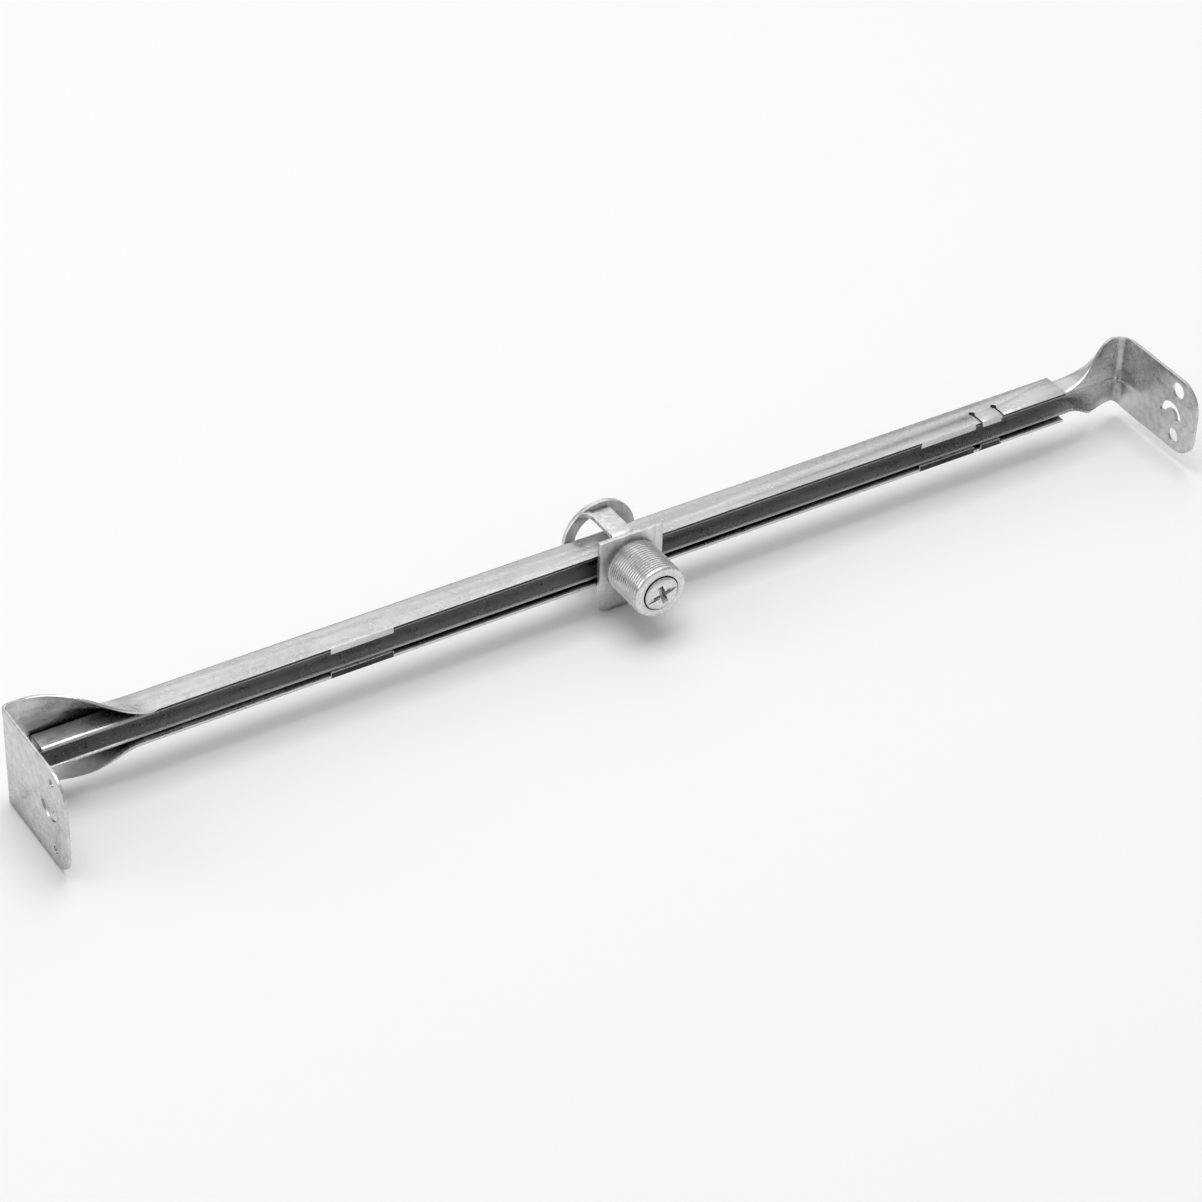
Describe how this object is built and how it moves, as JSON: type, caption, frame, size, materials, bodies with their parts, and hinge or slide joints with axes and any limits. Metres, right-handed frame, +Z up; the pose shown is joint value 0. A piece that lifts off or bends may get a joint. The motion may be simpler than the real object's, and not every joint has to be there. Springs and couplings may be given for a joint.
{
  "type": "adjustable bar hanger",
  "caption": "Telescoping steel bar hanger with nailing flanges at both ends and a sliding clip that holds a threaded fixture stud with a clamp screw.",
  "frame": {"origin": "on the fixture stud's axis, where the stud meets the clip's front face, with the bars at their shortest", "axes": "+X along the bars towards the inner bar's flange, -Y along the stud and the way both flanges point, +Z up across the bars"},
  "size_m": [0.3766, 0.0445, 0.0327],
  "materials": {
    "outer_bar": "galvanised, streaked along the bar",
    "inner_bar": "galvanised, streaked along the bar",
    "clip": "galvanised, satin",
    "stud": "zinc plated",
    "screw": "zinc plated, bright"
  },
  "bodies": {
    "outer_bar": {"outer_bar": "outer_bar"},
    "inner_bar": {"inner_bar": "inner_bar"},
    "clip": {"stud_clip": "clip", "fixture_stud": "stud"},
    "screw": {"clamp_screw": "screw"}
  },
  "joints": [
    {"name": "bar_slide", "type": "slide", "parent": "outer_bar", "child": "inner_bar", "axis": [1, 0, 0], "range_m": [0, 0.2]},
    {"name": "clip_slide", "type": "slide", "parent": "outer_bar", "child": "clip", "axis": [1, 0, 0], "range_m": [-0.135, 0.14]},
    {"name": "screw_turn", "type": "hinge", "parent": "clip", "child": "screw", "pos_m": [0, 0, 0], "axis": [0, 1, 0], "range_deg": [-360, 360]}
  ]
}
